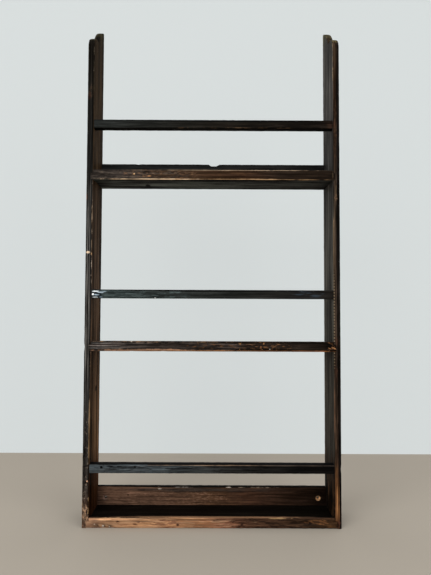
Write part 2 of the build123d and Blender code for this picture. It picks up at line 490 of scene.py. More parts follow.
# Stained wood. The stain's colour changes along each side of a board; grain, rubbed arrises,
# spots and flecks go over it, and everything is worked out from Object coordinates.
def stainedWood(name, look):
    material = newMaterial(name)
    tree = material.node_tree
    coords = addNode(tree, "ShaderNodeTexCoord").outputs
    where = coords["Object"]
    upright = look["along"] == "Z"
    turned = addNode(tree, "ShaderNodeMapping", {
        "Vector": where,
        "Location": look["seed"],
        "Rotation": (0, math.radians(90) if upright else 0, 0),
    }).outputs[0]
    grain = useGroup(tree, "grain", {
        "Vector": turned,
        "Coarseness": look["coarseness"],
        "Waviness": look["waviness"],
    })
    sides = useGroup(tree, "sides", {"Normal": coords["Normal"]})
    parts = addNode(tree, "ShaderNodeSeparateXYZ", {0: where}).outputs

    start, end = look["span"]
    drift = maths(tree, "MULTIPLY", maths(tree, "SUBTRACT", grain["Streaks"], 0.5), look["drift"])
    along = spread(tree, parts[2 if upright else 0], start * mm, end * mm)
    along = maths(tree, "ADD", along, drift)
    stain = rampAlong(tree, along, look["stain"]["Other"])
    for side, stops in look["stain"].items():
        if side != "Other":
            stain = blend(tree, sides[side], stain, rampAlong(tree, along, stops))

    contrast = look["contrast"]
    value = spread(tree, grain["Streaks"], *noiseRange, 1 - contrast, 1 + contrast)
    layers = [
        (grain["Fibres"], noiseRange, contrast * woodFinish["fibreShare"]),
        (grain["Rings"], (0, 1), contrast * woodFinish["ringShare"]),
        (grain["Lines"], (0, 1), look["lines"]),
        (noiseAt(tree, turned, *woodFinish["blotches"]), noiseRange, look["blotches"]),
    ]
    for layer, ends, share in layers:
        value = maths(tree, "MULTIPLY", value, spread(tree, layer, *ends, 1 - share, 1 + share))
    for side, (stretch, share) in look["streaks"].items():
        layer = noiseAt(tree, where, stretch, *woodFinish["streakNoise"])
        layer = spread(tree, layer, *woodFinish["streakRange"], -share, share)
        layer = maths(tree, "MULTIPLY", layer, sides[side])
        value = maths(tree, "MULTIPLY", value, maths(tree, "ADD", layer, 1.0))
    stain = shaded(tree, stain, value)
    pores = maths(tree, "MULTIPLY", grain["Pores"], woodFinish["poreStrength"])
    stain = blend(tree, pores, stain, colour(woodFinish["poreColour"]))

    for item in look["spots"]:
        mask = spotMask(tree, where, item)
        if item["side"]:
            mask = maths(tree, "MULTIPLY", mask, sides[item["side"]])
        mask = maths(tree, "MULTIPLY", mask, item.get("strength", 1.0))
        stain = blend(tree, mask, stain, shaded(tree, colour(item["colour"]), value))

    wear = look["wear"]
    arris = addNode(tree, "ShaderNodeAttribute", attribute_name="arris").outputs["Fac"]
    amount = wear["amount"]
    for item in wear["places"]:
        mask = spotMask(tree, where, item)
        amount = maths(tree, "ADD", maths(tree, "MULTIPLY", mask, item["amount"]), amount)
    worn = useGroup(tree, "wear", {
        "Vector": turned,
        "Arris": arris,
        "Amount": amount,
        "Break Scale": wear["breaks"],
    })
    rubbed = shaded(tree, colour(wear["rubbed"]), value)
    bare = shaded(tree, rampAlong(tree, along, wear["bare"]), value)
    stain = blend(tree, maths(tree, "MULTIPLY", worn["Rubbed"], wear["spread"]), stain, rubbed)
    stain = blend(tree, worn["Bare"], stain, bare)
    if "beads" in wear:
        mask = beadMask(tree, where, parts[2], arris, wear["beads"])
        stain = blend(tree, mask, stain, colour(wear["beads"]["colour"]))

    for item in look["flecks"]:
        mask = useGroup(tree, "flecks", {
            "Vector": turned,
            "Cell Scale": item["cells"],
            "Share": item["share"],
            "Size": item["size"],
        })["Mask"]
        mask = maths(tree, "MULTIPLY", mask, spotMask(tree, where, item))
        stain = blend(tree, mask, stain, colour(item["colour"]))

    # painted sheen: a thin pale grey laid over the stain in place of the sky's reflection, with less of it
    # in dark streaks and on dark spots
    paintedSheen = maths(tree, "MULTIPLY", value, look["paintedSheen"])
    whole = spread(tree, stain, woodFinish["sheenFrom"], woodFinish["sheenTo"], woodFinish["leastSheen"])
    stain = blend(tree, maths(tree, "MULTIPLY", paintedSheen, whole), stain, woodFinish["sheenColour"])

    roughness, change = look["roughness"], woodFinish["roughnessDrift"]
    rough = spread(tree, grain["Streaks"], *noiseRange, roughness - change, roughness + change)
    rougher = maths(tree, "MULTIPLY", worn["Bare"], woodFinish["bareRoughness"])
    rough = maths(tree, "ADD", rough, rougher, clamp=True)
    streaks = maths(tree, "MULTIPLY", grain["Streaks"], woodFinish["streakRise"])
    height = maths(tree, "ADD", grain["Fibres"], streaks)
    hollows = [(grain["Pores"], woodFinish["poreDepth"]), (worn["Bare"], woodFinish["bareDepth"])]
    for hollow, depth in hollows:
        height = maths(tree, "SUBTRACT", height, maths(tree, "MULTIPLY", hollow, depth))
    bump = addNode(tree, "ShaderNodeBump", {
        "Height": height,
        "Strength": woodFinish["bump"],
        "Distance": woodFinish["bumpHeight"],
    })
    shader = addNode(tree, "ShaderNodeBsdfPrincipled", {
        "Base Color": stain,
        "Roughness": rough,
        "Normal": bump.outputs[0],
        "Specular IOR Level": look["gloss"],
    })
    addNode(tree, "ShaderNodeOutputMaterial", {"Surface": shader.outputs[0]})
    return material


# What every look starts from; a board's own look names what differs
uprightLook = {
    "along": "Z",
    "span": (0, 1054),
    "coarseness": 1.0,
    "waviness": 1.0,
    "drift": 0.06,
    "contrast": 0.4,
    "lines": 0.35,
    "blotches": 0.2,
    "streaks": {
        "Front": ((200, 60, 5), 0.6),
        "Right": ((60, 56, 3), 0.8),
        "Left": ((60, 56, 3), 0.8),
    },
    "roughness": 0.6,
    "gloss": 0.025,
    # how much painted sheen is laid over the stain
    "paintedSheen": 0.0065,
    "spots": [],
    "flecks": [],
}
lyingLook = {
    **uprightLook,
    "along": "X",
    "span": (-250, 250),
    "streaks": {
        "Front": ((12, 60, 290), 0.45),
        "Under": ((5, 34, 60), 0.9),
    },
}


# ---- joinery: each board starts as a block and is shaped in edit mode

arrisRound = {"segments": 3, "profile": 0.5}
wholeRun = 0.8        # the least part of a span that an edge along it covers
straightRun = 0.99    # and the least part of the edge's own length that runs that way
rimWear = {
    "reach": 4 * mm,
    "arrisSize": 9 * mm,
    "arrisDepth": 0.9 * mm,
    "faceSize": 22 * mm,
    "faceDepth": 0.25 * mm,
    "cloudDepth": 2,
    "smoothUnder": 35,    # degrees
}


def makeActive(board):
    bpy.ops.object.select_all(action="DESELECT")
    board.select_set(True)
    bpy.context.view_layer.objects.active = board


def addBlock(name, low, high):
    bpy.ops.object.select_all(action="DESELECT")
    middle = [(a + b) / 2 for a, b in zip(low, high)]
    bpy.ops.mesh.primitive_cube_add(size=1, location=middle)
    block = bpy.context.object
    block.name = name
    block.scale = [b - a for a, b in zip(low, high)]
    bpy.ops.object.transform_apply(location=True, rotation=True, scale=True)
    bpy.ops.object.mode_set(mode="EDIT")
    return block


def cutAcross(axis, places):
    for position in places:
        bpy.ops.mesh.select_all(action="SELECT")
        point = [0, 0, 0]
        point[axis] = position
        direction = [0, 0, 0]
        direction[axis] = 1
        bpy.ops.mesh.bisect(plane_co=point, plane_no=direction)


# The same, at distances in millimetres from the start
def cutFrom(axis, start, distances):
    cutAcross(axis, [start + distance * mm for distance in distances])


def pick(board, kind, test):
    bpy.ops.mesh.select_mode(type=kind)
    bpy.ops.mesh.select_all(action="DESELECT")
    grid = bmesh.from_edit_mesh(board.data)
    items = {"VERT": grid.verts, "EDGE": grid.edges, "FACE": grid.faces}[kind]
    for item in items:
        if test(item):
            item.select_set(True)
    bmesh.update_edit_mesh(board.data)


# Rounds the edges that pass the test, and gives back where the square arrises ran
def roundArrises(board, test, width):
    pick(board, "EDGE", test)
    grid = bmesh.from_edit_mesh(board.data)
    lines = [[tuple(v.co) for v in edge.verts] for edge in grid.edges if edge.select]
    bpy.ops.mesh.bevel(offset=width, affect="EDGES", **arrisRound)
    return lines


# Divides the edges that run from low to high, or nearly, into steps
def divideAlong(board, axis, low, high, step):
    span = high - low

    def runsAlong(edge):
        first, second = (v.co for v in edge.verts)
        run = abs(first[axis] - second[axis])
        inside = min(first[axis], second[axis]) > low - mm and max(first[axis], second[axis]) < high + mm
        return inside and run > span * wholeRun and run > edge.calc_length() * straightRun

    pick(board, "EDGE", runsAlong)
    bpy.ops.mesh.subdivide(number_cuts=max(1, round(span / step) - 1))


def carve(board, cutter):
    makeActive(board)
    bpy.ops.object.modifier_add(type="BOOLEAN")
    cut = board.modifiers[-1]
    cut.operation = "DIFFERENCE"
    cut.solver = "EXACT"
    cut.object = cutter
    bpy.ops.object.modifier_apply(modifier=cut.name)
    bpy.data.objects.remove(cutter, do_unlink=True)


# How near each point is to an arris, kept for the modifiers and for the finish
def markArrises(board, lines, reach):
    points = np.array([v.co for v in board.data.vertices])
    nearest = np.full(len(points), reach)
    for first, second in lines:
        start = np.array(first)
        run = np.array(second) - start
        share = np.clip((points - start) @ run / (run @ run), 0, 1)
        nearest = np.minimum(nearest, np.linalg.norm(points - start - share[:, None] * run, axis=1))
    weights = 1 - nearest / reach
    attribute = board.data.attributes.new("arris", "FLOAT", "POINT")
    attribute.data.foreach_set("value", weights.astype(np.float32))
    group = board.vertex_groups.new(name="arris")
    for index, weight in enumerate(weights):
        if weight > 0:
            group.add([index], float(weight), "REPLACE")


def addRoughness(board, name, size, depth, group=""):
    texture = bpy.data.textures.new(name, "CLOUDS")
    texture.noise_scale = size
    texture.noise_depth = rimWear["cloudDepth"]
    bpy.ops.object.modifier_add(type="DISPLACE")
    rough = board.modifiers[-1]
    rough.texture = texture
    rough.texture_coords = "LOCAL"
    rough.mid_level = 0.0
    rough.strength = -depth
    rough.vertex_group = group
    bpy.ops.object.modifier_apply(modifier=rough.name)


def knock(board, place, push, reach):
    target = Vector(place) * mm
    grid = bmesh.from_edit_mesh(board.data)
    nearest = min(grid.verts, key=lambda v: (v.co - target).length)
    bpy.ops.mesh.select_all(action="DESELECT")
    nearest.select_set(True)
    bmesh.update_edit_mesh(board.data)
    bpy.ops.transform.translate(
        value=[c * mm for c in push],
        use_proportional_edit=True,
        proportional_edit_falloff="SMOOTH",
        proportional_size=reach * mm,
    )


# Uneven arrises and faces, then the knocks, each as (place, push, reach) in millimetres
def weather(board, lines, knocks):
    bpy.ops.object.mode_set(mode="OBJECT")
    markArrises(board, lines, rimWear["reach"])
    addRoughness(board, board.name + "Arris", rimWear["arrisSize"], rimWear["arrisDepth"], "arris")
    addRoughness(board, board.name + "Face", rimWear["faceSize"], rimWear["faceDepth"])
    bpy.ops.object.mode_set(mode="EDIT")
    bpy.ops.mesh.select_mode(type="VERT")
    for blow in knocks:
        knock(board, *blow)
    bpy.ops.object.mode_set(mode="OBJECT")


def finishPiece(board, nodes, material):
    makeActive(board)
    bpy.ops.object.shade_smooth_by_angle(angle=math.radians(rimWear["smoothUnder"]))
    board.data.materials.clear()
    board.data.materials.append(material)
    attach(board, "root")
    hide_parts(*nodes)
    print("made", board.name, len(board.data.polygons), "faces")


# ---- lost-head nails: one is modelled at the origin, then copied to its places

nail = {
    "length": 38 * mm,
    "radius": 1.2 * mm,
    "corners": 20,
    "headRadius": 2.4 * mm,
    "headThick": 1.2 * mm,
    "neck": 0.3 * mm,
    "neckShare": 0.94,                                     # of the head's radius
    "headSteps": ((0.25, 1.064), (0.45, 1.0), (0.2, 0.88)),   # length in mm, and change of size
    "point": 3 * mm,
    "pointSteps": ((0.7, 0.55), (0.3, 0.12)),              # share of the point, and change of size
    "gripCuts": (2, 3, 4, 5, 6),                           # in mm under the head
    "gripHollows": (3, 5),
    "gripSize": 0.9,
    "dimple": 0.25 * mm,
    "dimpleEdge": 1.0 * mm,
    "dimpleSlope": 0.3 * mm,
    "onePlace": 6 * mm,                                    # the deepest box with one nail in it
    "steel": "4a4641",
    "rust": "4a2c1c",
    "rustNoise": ((900, 900, 900), 3.0, 0.6),
    "rustRange": (0.4, 0.62),
    "metallic": (0.9, 0.15),                               # clean steel and rust
    "roughness": (0.45, 0.8),
    "gritNoise": ((4000, 4000, 4000), 2.0, 0.5),
    "grit": 0.4,
    "gritHeight": 0.1 * mm,
}


def paintNails():
    material = newMaterial("nail_steel_dull")
    tree = material.node_tree
    where = addNode(tree, "ShaderNodeTexCoord").outputs["Object"]
    rust = spread(tree, noiseAt(tree, where, *nail["rustNoise"]), *nail["rustRange"])
    bump = addNode(tree, "ShaderNodeBump", {
        "Height": noiseAt(tree, where, *nail["gritNoise"]),
        "Strength": nail["grit"],
        "Distance": nail["gritHeight"],
    })
    shader = addNode(tree, "ShaderNodeBsdfPrincipled", {
        "Base Color": blend(tree, rust, colour(nail["steel"]), colour(nail["rust"])),
        "Metallic": spread(tree, rust, 0, 1, *nail["metallic"]),
        "Roughness": spread(tree, rust, 0, 1, *nail["roughness"]),
        "Normal": bump.outputs[0],
    })
    addNode(tree, "ShaderNodeOutputMaterial", {"Surface": shader.outputs[0]})
    return material


def makeNail():
    bpy.ops.object.select_all(action="DESELECT")
    shank = nail["length"] - nail["headThick"] - nail["point"]
    bpy.ops.mesh.primitive_cylinder_add(
        vertices=nail["corners"], radius=nail["radius"], depth=shank,
        location=(nail["headThick"] + shank / 2, 0, 0), rotation=(0, math.radians(90), 0))
    piece = bpy.context.object
    bpy.ops.object.transform_apply(location=True, rotation=True, scale=True)
    bpy.ops.object.mode_set(mode="EDIT")
    cutFrom(0, nail["headThick"], nail["gripCuts"])

    def swell(x, size):
        pick(piece, "VERT", lambda v: abs(v.co.x - x) < 10 * hair)
        bpy.ops.transform.resize(value=(1, size, size), center_override=(x, 0, 0))

    def pull(end, run, size):
        pick(piece, "FACE", lambda face: abs(face.calc_center_median().x - end) < hair)
        bpy.ops.mesh.extrude_region_move(TRANSFORM_OT_translate={"value": (run, 0, 0)})
        bpy.ops.transform.resize(value=(1, size, size), center_override=(end + run, 0, 0))
        return end + run

    for distance in nail["gripHollows"]:
        swell(nail["headThick"] + distance * mm, nail["gripSize"])
    end = nail["length"] - nail["point"]
    for share, size in nail["pointSteps"]:
        end = pull(end, nail["point"] * share, size)
    flare = nail["headRadius"] / nail["radius"]
    end = pull(nail["headThick"], -nail["neck"], flare * nail["neckShare"])
    for run, size in nail["headSteps"]:
        end = pull(end, -run * mm, size)
    pick(piece, "FACE", lambda face: abs(face.calc_center_median().x) < hair
         and abs(face.normal.x) > squareOn)
    bpy.ops.mesh.inset(thickness=nail["dimpleEdge"])
    bpy.ops.mesh.inset(thickness=nail["dimpleSlope"], depth=-nail["dimple"])
    bpy.ops.mesh.select_all(action="SELECT")
    bpy.ops.mesh.normals_make_consistent(inside=False)
    bpy.ops.object.mode_set(mode="OBJECT")
    return piece


# Where a node's nails stand, as (y, z)
def nailPlaces(node):
    low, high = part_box(node)
    z = (low.z + high.z) / 2
    if high.y - low.y < nail["onePlace"]:
        return [((low.y + high.y) / 2, z)]
    return [(low.y + nail["headRadius"], z), (high.y - nail["headRadius"], z)]


def copyNails(pattern, node, material):
    low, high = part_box(node)
    onLeft = low.x < 0
    bpy.ops.object.select_all(action="DESELECT")
    copies = []
    for y, z in nailPlaces(node):
        copied = pattern.copy()
        copied.data = pattern.data.copy()
        bpy.context.collection.objects.link(copied)
        copied.location = (low.x if onLeft else high.x, y, z)
        copied.rotation_euler = (0, 0, 0 if onLeft else math.pi)
        copied.select_set(True)
        copies.append(copied)
    bpy.context.view_layer.objects.active = copies[0]
    if len(copies) > 1:
        bpy.ops.object.join()
    bpy.ops.object.transform_apply(location=True, rotation=True, scale=True)
    piece = bpy.context.object
    piece.name = node + "_driven"
    finishPiece(piece, [node], material)


nailPattern = makeNail()
nailFinish = paintNails()
nailNodes = [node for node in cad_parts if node.endswith(("_nail", "_nails"))]
for nailNode in nailNodes:
    copyNails(nailPattern, nailNode, nailFinish)
bpy.data.objects.remove(nailPattern, do_unlink=True)

# ---- side boards

sideBoard = {
    "arris": 1.5 * mm,
    "straight": 980 * mm,
    "nose": 28 * mm,
    "noseSteps": 9,
    "ledge": 8 * mm,
    "crownFlat": 4 * mm,
    "crownBulge": 5 * mm,
    "crownSteps": 12,
    "grooveDepth": 5 * mm,
    "grooveHeight": 15.1 * mm,
    "pastFace": 5 * mm,       # how far a cutter stands out of the board
    "nailHole": 2.5 * mm,
    "nailSet": 0.85 * mm,
    "step": 4 * mm,
    "thicknessCuts": (4, 7, 10),
}


# The nose above the straight part, as (y, z) of the board's front edge
def noseProfile(front):
    nose, start, steps = sideBoard["nose"], sideBoard["straight"], sideBoard["noseSteps"]
    angles = [math.radians(90) * i / steps for i in range(1, steps + 1)]
    return [(front + nose * (1 - math.cos(angle)), start + nose * math.sin(angle)) for angle in angles]


# The crown behind the ledge, which swells from its chord
def crownProfile(foot, head):
    run, rise = head[0] - foot[0], head[1] - foot[1]
    chord = math.hypot(run, rise)
    bulge = sideBoard["crownBulge"]
    radius = (chord * chord / 4 + bulge * bulge) / (2 * bulge)
    centreY = (foot[0] + head[0]) / 2 + rise / chord * (radius - bulge)
    centreZ = (foot[1] + head[1]) / 2 - run / chord * (radius - bulge)
    first = math.atan2(foot[1] - centreZ, foot[0] - centreY)
    last = math.atan2(head[1] - centreZ, head[0] - centreY)
    steps = sideBoard["crownSteps"]
    angles = [first + (last - first) * i / steps for i in range(1, steps + 1)]
    return [(centreY + radius * math.cos(angle), centreZ + radius * math.sin(angle)) for angle in angles]


# Raises the faces on top of the board step by step, drawing their front edge back
def raiseTop(board, back, start, profile):
    front, level = start

    def onTop(face):
        middle = face.calc_center_median()
        return face.normal.z > squareOn and middle.y > front and middle.z > level - hair

    for y, z in profile:
        pick(board, "FACE", onTop)
        bpy.ops.mesh.extrude_region_move(TRANSFORM_OT_translate={"value": (0, 0, z - level)})
        bpy.ops.transform.resize(value=(1, (back - y) / (back - front), 1), center_override=(0, back, z))
        front, level = y, z


def onRim(edge):
    if len(edge.link_faces) != 2:
        return False
    across = sorted(abs(face.normal.x) for face in edge.link_faces)
    return across[0] < edgeOn and across[1] > squareOn


def shapeSide(board, low, high):
    straight, nose = sideBoard["straight"], sideBoard["nose"]
    ledge, crownFoot = straight + nose, low.y + nose + sideBoard["ledge"]
    raiseTop(board, high.y, (low.y, straight), noseProfile(low.y))
    cutAcross(1, [crownFoot])
    crown = crownProfile((crownFoot, ledge), (high.y - sideBoard["crownFlat"], high.z))
    raiseTop(board, high.y, (crownFoot, ledge), crown)
    # one flat face on each side, so that the arris can run clear round it
    pick(board, "EDGE", lambda edge: all(abs(face.normal.x) > squareOn for face in edge.link_faces))
    bpy.ops.mesh.dissolve_edges(use_verts=False)
    lines = roundArrises(board, onRim, sideBoard["arris"])
    columns = round((high.y - low.y) / sideBoard["step"])
    cutAcross(1, [low.y + (high.y - low.y) * (i + 0.5) / columns for i in range(columns)])
    cutFrom(0, low.x, sideBoard["thicknessCuts"])
    rows = round((high.z - straight) / sideBoard["step"])
    cutAcross(2, [straight + (high.z - straight) * i / rows for i in range(rows)])
    divideAlong(board, 2, low.z, straight, sideBoard["step"])
    return lines


def cutGroove(board, low, high, innerFace, inward, tier):
    past = sideBoard["pastFace"]
    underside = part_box(tier + "_shelf")[0].z
    left, right = sorted((innerFace - inward * sideBoard["grooveDepth"], innerFace + inward * past))
    bottom = underside - (past if tier == "bottom" else 0)
    top = underside + sideBoard["grooveHeight"]
    addBlock("groove", (left, low.y - past, bottom), (right, high.y + past, top))
    bpy.ops.object.mode_set(mode="OBJECT")
    carve(board, bpy.context.object)


def makeSide(name, look, knocks):
    low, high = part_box(name)
    inward = 1 if low.x < 0 else -1
    innerFace, outerFace = (high.x, low.x) if inward > 0 else (low.x, high.x)
    board = addBlock(name + "_worn", low, (high.x, high.y, sideBoard["straight"]))
    lines = shapeSide(board, low, high)
    weather(board, lines, knocks)
    for tier in ("bottom", "middle", "top"):
        cutGroove(board, low, high, innerFace, inward, tier)
    for node in nailNodes:
        if (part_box(node)[0].x < 0) != (inward > 0):
            continue
        for y, z in nailPlaces(node):
            bpy.ops.mesh.primitive_cylinder_add(
                vertices=nail["corners"], radius=sideBoard["nailHole"], depth=2 * sideBoard["nailSet"],
                location=(outerFace, y, z), rotation=(0, math.radians(90), 0))
            carve(board, bpy.context.object)
    finishPiece(board, [name], stainedWood(name + "_stain", look))


leftLook = {
    **uprightLook,
    "seed": (0.3, 0.1, 0.2),
    "gloss": 0.01,
    # a weaker painted sheen than on the other boards
    "paintedSheen": 0.0025,
    "streaks": {
        "Front": ((210, 60, 5), 0.6),
        "Right": ((60, 56, 3), 0.9),
    },
    "stain": {
        "Other": [(0.0, "30261d"), (0.5, "28221d"), (1.0, "1f1c18")],
        # the grey stops of the front edge's stain are painted sheen
        "Front": [(0.0, "5c4234"), (0.03, "4a382c"), (0.08, "2f2a26"), (0.15, "302d2a"), (0.3, "32302e"),
                  (0.42, "383634"), (0.55, "323130"), (0.66, "262523"), (0.75, "1c1b19"), (0.9, "171410")],
        # the dark orange-brown stops at the foot of the inner face are painted shade with a warm painted
        # reflection
        "Right": [(0.0, "281406"), (0.1, "321c0b"), (0.14, "5c432d"), (0.3, "533f2e"), (0.5, "4e3d2f"),
                  (0.7, "37291a"), (0.95, "261c0f"), (1.0, "2c2718")],
        "Top": [(0.0, "3a3522")],
    },
    "spots": [
        # painted shade: a dark strip down the back edge of the inner face
        spot((-246, 38, 520), (5, 6, 640), "070605", "Right", soft=0.3, ragged=0.2),
        spot((-246, -4, 1042), (5, 40, 14), "474129", "Right", soft=0.8, ragged=1.6, noise=(200, 160, 200)),
        strewn((-256, -39, 480), (1.8, 6, 230), "8c8882", 0.7, (300, 60, 12), 0.5, ragged=2.4, soft=0.4),
        strewn((-251.5, -39, 470), (1.2, 6, 240), "807c76", 0.7, (300, 60, 9), 0.5, ragged=2.4, soft=0.4),
        strewn((-254, -39, 430), (1.2, 6, 260), "0a0a0a", 0.6, (300, 60, 8), ragged=2.4, soft=0.4),
        strewn((-248.5, -39, 450), (1.2, 6, 300), "0a0a0a", 0.6, (300, 60, 8), ragged=2.4, soft=0.4),
        spot((-256, -39, 877), (6, 5, 12), "2c1912", "Front", soft=0.9, noise=(300, 200, 120)),
        # painted glint: an orange highlight on the outer front arris
        spot((-260, -38, 665), (3, 5, 10), "754628", soft=0.7, noise=(300, 200, 120)),
        spot((-246, 6, 268), (4, 7, 8), "060302", "Right", soft=0.5, ragged=0.6),
        arrisLine((-247.3, -39, 600), (1, 4, 60), "7c6a58", 0.75, (200, 60, 60)),
        arrisLine((-246.2, -38.8, 915), (1.2, 2, 65), "6c5e46", 0.3, (200, 60, 40), ragged=1.8),
        strewn((-252, -39, 885), (5, 5, 12), "4a3828", 1.05, (500, 200, 300), 0.6),
        spot((-254.4, -39, 552), (5, 4, 3), "dcc2a4", "Front", soft=0.4, ragged=0.6, noise=(300, 300, 300)),
        spot((-246, -38, 549), (3, 3, 4), "b08c66", soft=0.5, noise=(300, 300, 300)),
        arrisLine((-247.2, -39, 215), (1.3, 4, 52), "a88a66", 0.4, (200, 60, 60), ragged=1.6),
        arrisLine((-247.2, -39, 160), (1.4, 4, 36), "b8966c", 0.2, (200, 60, 50), ragged=1.4),
        spot((-252, -39, 90), (3, 4, 4), "0c0806", "Front", soft=0.6, noise=(300, 300, 300)),
        spot((-249.5, -39, 92), (2, 4, 2.2), "cc9f80", "Front", soft=0.6, noise=(300, 300, 300)),
        strewn((-253, -39, 14), (9, 6, 30), "c4a080", 1.0, (260, 200, 80), 0.6),
        strewn((-253, -39, 20), (9, 6, 40), "20120b", 0.95, (280, 200, 90), 0.7),
        strewn((-253, -39, 8), (9, 6, 26), "b08868", 1.0, (240, 200, 160), 0.7, ragged=3, soft=0.4),
        strewn((-253, -39, 60), (9, 6, 110), "120c07", 0.95, (260, 200, 110), 0.8, ragged=3, soft=0.4),
        strewn((-253, -39, 110), (9, 6, 100), "8a7a6c", 1.16, (300, 200, 180), 0.6, ragged=3),
    ],
    "wear": {
        "amount": 0.14,
        "breaks": 1.6,
        "spread": 0.25,
        "rubbed": "4e3f30",
        "bare": [(0.0, "a8865c"), (0.3, "9a8468"), (0.5, "b5a594"), (1.0, "857a66")],
        "places": [
            rub((-246, -39, 920), (6, 6, 110), 0.2),
            rub((-246, -39, 620), (6, 6, 60), 0.18),
            rub((-246, -39, 510), (6, 6, 45), 0.36),
            rub((-246, -39, 250), (6, 6, 170), 0.26),
            rub((-246, -39, 25), (8, 10, 60), 0.36),
            rub((-260, -39, 25), (8, 10, 60), 0.2),
        ],
    },
}
rightLook = {
    **uprightLook,
    "seed": (0.7, 0.4, 0.9),
    "streaks": {
        "Front": ((260, 60, 9), 0.7),
        "Left": ((60, 110, 3), 0.85),
    },
    "stain": {
        "Other": [(0.0, "2b2119"), (1.0, "231c17")],
        "Front": [(0.0, "3a2212"), (0.02, "5c3a20"), (0.09, "54351c"), (0.13, "422f21"), (0.3, "392c22"),
                  (0.5, "3c2f24"), (0.62, "44372b"), (0.7, "302217"), (0.85, "2e1d10"), (0.97, "302417"),
                  (1.0, "5a4e2e")],
        # the near-black stops at the foot of the inner face are painted shade
        "Left": [(0.0, "0a0704"), (0.1, "0e0a06"), (0.15, "36322b"), (0.33, "3d3a33"), (0.5, "44423c"),
                 (0.6, "43413c"), (0.8, "4b4845"), (0.97, "474541"), (1.0, "56543c")],
        "Top": [(0.0, "4a4429")],
    },
    "spots": [
        spot((264, -39, 527), (13, 8, 900), "0d0907", "Front", soft=0.2, ragged=0.3, noise=(200, 200, 60)),
        spot((262, -39, 330), (12, 8, 200), "18110c", "Front", soft=0.3, ragged=0.5, noise=(200, 200, 40)),
        spot((263, -20, 527), (11, 26, 900), "0c0806", "Right", soft=0.5, ragged=0.8, noise=(60, 60, 20)),
        spot((253, -39, 1000), (8, 40, 12), "5c5030", "Front", soft=0.8, ragged=1.8, noise=(240, 200, 200)),
        strewn((246, 5, 60), (4, 60, 70), "4a3018", 0.95, (60, 90, 14), 0.6, side="Left"),
        strewn((250.2, -39, 56), (2.2, 5, 60), "744e2c", 0.7, (300, 200, 30), ragged=2.6, soft=0.5),
        arrisLine((246.4, -39, 560), (1.4, 4, 90), "74604a", 0.4, (200, 60, 30), ragged=1.4),
        arrisLine((246.4, -39, 240), (1.4, 4, 90), "745642", 0.4, (200, 60, 30), ragged=1.4),
        strewn((254.5, -39, 50), (1.2, 5, 50), "6a4626", 0.7, (300, 200, 30), ragged=2, soft=0.5),
        spot((246, -31, 818), (4, 9, 13), "2c1a12", "Left", ragged=1.6, noise=(200, 200, 300)),
        spot((248, -39, 818), (4, 5, 13), "3a2214", "Front", ragged=1.8, noise=(500, 200, 200)),
        strewn((250, -39, 820), (3, 5, 60), "4a3220", 0.95, (300, 200, 160), 0.6, ragged=3),
        strewn((251.6, -39, 684), (1, 5, 18), "6a563e", 0.6, (260, 200, 90), 0.6, ragged=2.4, soft=0.5),
        strewn((252, -39, 668), (3.4, 5, 7), "86684e", 0.9, (260, 200, 260), 0.7, ragged=3, soft=0.4,
               tilt=40),
        strewn((250, -39, 340), (4, 5, 50), "4a2c1c", 0.95, (260, 200, 60), 0.6, ragged=3),
        spot((251, -39, 8), (4, 5, 6), "1c0804", "Front", soft=0.4, ragged=1),
        spot((255, -39, 12), (3, 5, 4), "462618", "Front", soft=0.5, ragged=1.2, noise=(300, 200, 200)),
    ],
    "wear": {
        "amount": 0.1,
        "breaks": 1.3,
        "spread": 0.25,
        "rubbed": "4b3624",
        "bare": [(0.0, "8a5c34"), (0.4, "86684a"), (0.6, "927a60"), (1.0, "7a6850")],
        "beads": {
            "step": 6.1,
            "uneven": 2.4,
            "unevenNoise": ((0, 0, 170), 3.0, 0.7),
            "dotRange": (0.4, 0.7),
            "arrisRange": (0.5, 0.6),
            "colour": "a58d70",
            "place": (246, -39, 415),
            "reach": (6, 6, 115),
            "soft": 0.4,
        },
        "places": [
            rub((246, -39, 955), (6, 6, 60), 0.4),
            rub((246, -39, 640), (6, 6, 50), 0.3),
            rub((248, -39, 40), (8, 10, 60), 0.2),
        ],
    },
}

makeSide("left_side", leftLook, [
    ((-257, -39, 552), (0.8, 1.3, 0), 7),
    ((-246, -39, 549), (-0.8, 0.8, 0), 6),
    ((-248, -39, 92), (-0.6, 0.9, 0), 5),
    ((-260, -39, 360), (0.8, 0.6, 0), 6),
    ((-246, -39, 610), (-0.6, 0.6, 0), 9),
    ((-246, -39, 508), (-0.7, 0.7, 0), 7),
    ((-253, -39, 14), (0, 0.8, 0), 6),
])
makeSide("right_side", rightLook, [
    ((246, -39, 700), (0.5, 0.6, 0), 6),
    ((260, -39, 120), (-0.8, 0.8, 0), 7),
    ((260, -11, 1008), (-0.8, 0, -0.6), 6),
])

# ---- shelves

shelfBoard = {
    "thickness": 15 * mm,
    "lipWidth": 10 * mm,
    "lipEnd": 245.9 * mm,
    "arris": 1.5 * mm,
    "step": 3.5 * mm,
    "depthCuts": (3, 7, 10, 13, 24, 38, 52, 66, 75),
    "heightCuts": (3, 7.5, 12),
    "lipCut": 3 * mm,         # under the lip's top
}


# A square arris that runs across the rack
def isArris(edge):
    first, second = (v.co for v in edge.verts)
    level = abs(first.y - second.y) + abs(first.z - second.z) <= hair
    bend = edge.calc_face_angle(0)
    return level and len(edge.link_faces) == 2 and bend > sharpBend and edge.is_convex


